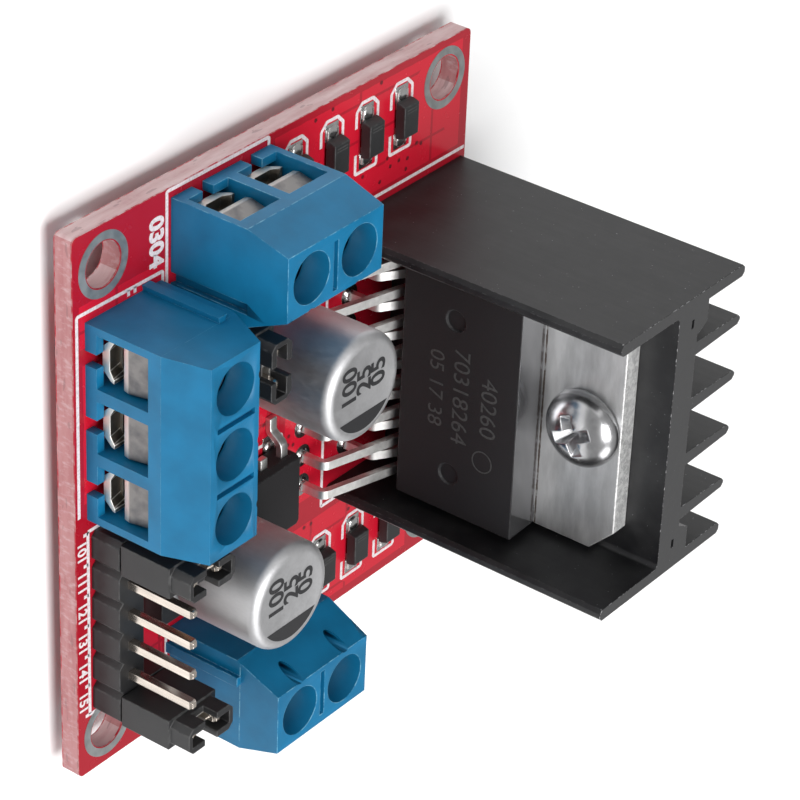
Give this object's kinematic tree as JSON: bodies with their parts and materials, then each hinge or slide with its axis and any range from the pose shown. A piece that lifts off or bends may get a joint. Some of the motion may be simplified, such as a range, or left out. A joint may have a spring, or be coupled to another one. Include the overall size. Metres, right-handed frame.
{
  "type": "dc motor driver module",
  "caption": "Square circuit board that drives two dc motors: power chip on a finned heatsink, screw terminals, pin header with jumper shunts, capacitors and diodes.",
  "frame": {"origin": "centre of the board's outline, on the surface that the pin stubs under it rest on", "axes": "+X along the edge with the pin header, +Y from the header to the heatsink, +Z out of the component side"},
  "size_m": [0.0434, 0.043, 0.0281],
  "materials": {
    "board": "red solder mask on fibreglass",
    "heatsink_black": "black anodised aluminium",
    "tinned": "tinned",
    "black_moulding": "moulded, faint grain",
    "chip_body": "moulded epoxy",
    "blue_moulding": "moulded, smooth",
    "plated_steel": "nickel plated",
    "gold": "gold flash",
    "can": "satin",
    "diode": "moulded epoxy",
    "lens": "clear lens on white base",
    "resistor": "glazed",
    "ceramic": "fired ceramic",
    "solder": "bright solder"
  },
  "bodies": {
    "module": {"ceramic_capacitors": "ceramic", "chip_screw": "plated_steel", "circuit_board": "board", "driver_chip_body": "chip_body", "driver_chip_inner_leads": "tinned", "driver_chip_outer_leads": "tinned", "driver_chip_tab": "tinned", "enable_header_housings": "black_moulding", "enable_header_pins": "gold", "heatsink": "heatsink_black", "heatsink_solder_pins": "tinned", "input_header_housing": "black_moulding", "input_header_pins": "gold", "led_resistor": "resistor", "left_diode_bodies": "diode", "left_diode_leads": "tinned", "left_output_terminal_contacts": "plated_steel", "left_output_terminal_housing": "blue_moulding", "logic_capacitor_base": "black_moulding", "logic_capacitor_can": "can", "logic_capacitor_terminals": "tinned", "power_led": "lens", "power_terminal_contacts": "plated_steel", "power_terminal_housing": "blue_moulding", "regulator_body": "chip_body", "regulator_leads": "tinned", "regulator_tab": "tinned", "right_diode_bodies": "diode", "right_diode_leads": "tinned", "right_output_terminal_contacts": "plated_steel", "right_output_terminal_housing": "blue_moulding", "solder_joints": "solder", "supply_capacitor_base": "black_moulding", "supply_capacitor_can": "can", "supply_capacitor_terminals": "tinned", "supply_header_housing": "black_moulding", "supply_header_pins": "gold"},
    "power_terminal_leaf_1": {"power_terminal_leaf_1": "plated_steel"},
    "power_terminal_screw_1": {"power_terminal_screw_1": "plated_steel"},
    "power_terminal_leaf_2": {"power_terminal_leaf_2": "plated_steel"},
    "power_terminal_screw_2": {"power_terminal_screw_2": "plated_steel"},
    "power_terminal_leaf_3": {"power_terminal_leaf_3": "plated_steel"},
    "power_terminal_screw_3": {"power_terminal_screw_3": "plated_steel"},
    "left_output_terminal_leaf_1": {"left_output_terminal_leaf_1": "plated_steel"},
    "left_output_terminal_screw_1": {"left_output_terminal_screw_1": "plated_steel"},
    "left_output_terminal_leaf_2": {"left_output_terminal_leaf_2": "plated_steel"},
    "left_output_terminal_screw_2": {"left_output_terminal_screw_2": "plated_steel"},
    "right_output_terminal_leaf_1": {"right_output_terminal_leaf_1": "plated_steel"},
    "right_output_terminal_screw_1": {"right_output_terminal_screw_1": "plated_steel"},
    "right_output_terminal_leaf_2": {"right_output_terminal_leaf_2": "plated_steel"},
    "right_output_terminal_screw_2": {"right_output_terminal_screw_2": "plated_steel"},
    "first_enable_shunt": {"first_enable_shunt_housing": "black_moulding", "first_enable_shunt_clip": "tinned"},
    "second_enable_shunt": {"second_enable_shunt_housing": "black_moulding", "second_enable_shunt_clip": "tinned"},
    "supply_shunt": {"supply_shunt_housing": "black_moulding", "supply_shunt_clip": "tinned"}
  },
  "joints": [
    {"name": "power_terminal_leaf_1_lift", "type": "slide", "parent": "module", "child": "power_terminal_leaf_1", "axis": [0, 0, 1], "range_m": [-0.0006, 0.0008]},
    {"name": "power_terminal_screw_1_turn", "type": "hinge", "parent": "power_terminal_leaf_1", "child": "power_terminal_screw_1", "pos_m": [-0.01248, -0.01685, 0.0102], "axis": [0, 0, 1], "range_deg": [-433, 577]},
    {"name": "power_terminal_leaf_2_lift", "type": "slide", "parent": "module", "child": "power_terminal_leaf_2", "axis": [0, 0, 1], "range_m": [-0.0006, 0.0008]},
    {"name": "power_terminal_screw_2_turn", "type": "hinge", "parent": "power_terminal_leaf_2", "child": "power_terminal_screw_2", "pos_m": [-0.0074, -0.01685, 0.0102], "axis": [0, 0, 1], "range_deg": [-433, 577]},
    {"name": "power_terminal_leaf_3_lift", "type": "slide", "parent": "module", "child": "power_terminal_leaf_3", "axis": [0, 0, 1], "range_m": [-0.0006, 0.0008]},
    {"name": "power_terminal_screw_3_turn", "type": "hinge", "parent": "power_terminal_leaf_3", "child": "power_terminal_screw_3", "pos_m": [-0.00232, -0.01685, 0.0102], "axis": [0, 0, 1], "range_deg": [-433, 577]},
    {"name": "left_output_terminal_leaf_1_lift", "type": "slide", "parent": "module", "child": "left_output_terminal_leaf_1", "axis": [0, 0, 1], "range_m": [-0.0006, 0.0008]},
    {"name": "left_output_terminal_screw_1_turn", "type": "hinge", "parent": "left_output_terminal_leaf_1", "child": "left_output_terminal_screw_1", "pos_m": [-0.0175, -0.00406, 0.0102], "axis": [0, 0, 1], "range_deg": [-433, 577]},
    {"name": "left_output_terminal_leaf_2_lift", "type": "slide", "parent": "module", "child": "left_output_terminal_leaf_2", "axis": [0, 0, 1], "range_m": [-0.0006, 0.0008]},
    {"name": "left_output_terminal_screw_2_turn", "type": "hinge", "parent": "left_output_terminal_leaf_2", "child": "left_output_terminal_screw_2", "pos_m": [-0.0175, -0.00914, 0.0102], "axis": [0, 0, 1], "range_deg": [-433, 577]},
    {"name": "right_output_terminal_leaf_1_lift", "type": "slide", "parent": "module", "child": "right_output_terminal_leaf_1", "axis": [0, 0, 1], "range_m": [-0.0006, 0.0008]},
    {"name": "right_output_terminal_screw_1_turn", "type": "hinge", "parent": "right_output_terminal_leaf_1", "child": "right_output_terminal_screw_1", "pos_m": [0.0179, -0.00914, 0.0102], "axis": [0, 0, 1], "range_deg": [-433, 577]},
    {"name": "right_output_terminal_leaf_2_lift", "type": "slide", "parent": "module", "child": "right_output_terminal_leaf_2", "axis": [0, 0, 1], "range_m": [-0.0006, 0.0008]},
    {"name": "right_output_terminal_screw_2_turn", "type": "hinge", "parent": "right_output_terminal_leaf_2", "child": "right_output_terminal_screw_2", "pos_m": [0.0179, -0.00406, 0.0102], "axis": [0, 0, 1], "range_deg": [-433, 577]},
    {"name": "first_enable_shunt_pull", "type": "slide", "parent": "module", "child": "first_enable_shunt", "axis": [0, 0, 1], "range_m": [0, 0.0065]},
    {"name": "second_enable_shunt_pull", "type": "slide", "parent": "module", "child": "second_enable_shunt", "axis": [0, 0, 1], "range_m": [0, 0.0065]},
    {"name": "supply_shunt_pull", "type": "slide", "parent": "module", "child": "supply_shunt", "axis": [0, 0, 1], "range_m": [0, 0.0065]}
  ],
  "couplings": [
    {"joint": "power_terminal_screw_1_turn", "follows": "power_terminal_leaf_1_lift", "rad_per_m": 12566},
    {"joint": "power_terminal_screw_2_turn", "follows": "power_terminal_leaf_2_lift", "rad_per_m": 12566},
    {"joint": "power_terminal_screw_3_turn", "follows": "power_terminal_leaf_3_lift", "rad_per_m": 12566},
    {"joint": "left_output_terminal_screw_1_turn", "follows": "left_output_terminal_leaf_1_lift", "rad_per_m": 12566},
    {"joint": "left_output_terminal_screw_2_turn", "follows": "left_output_terminal_leaf_2_lift", "rad_per_m": 12566},
    {"joint": "right_output_terminal_screw_1_turn", "follows": "right_output_terminal_leaf_1_lift", "rad_per_m": 12566},
    {"joint": "right_output_terminal_screw_2_turn", "follows": "right_output_terminal_leaf_2_lift", "rad_per_m": 12566}
  ]
}
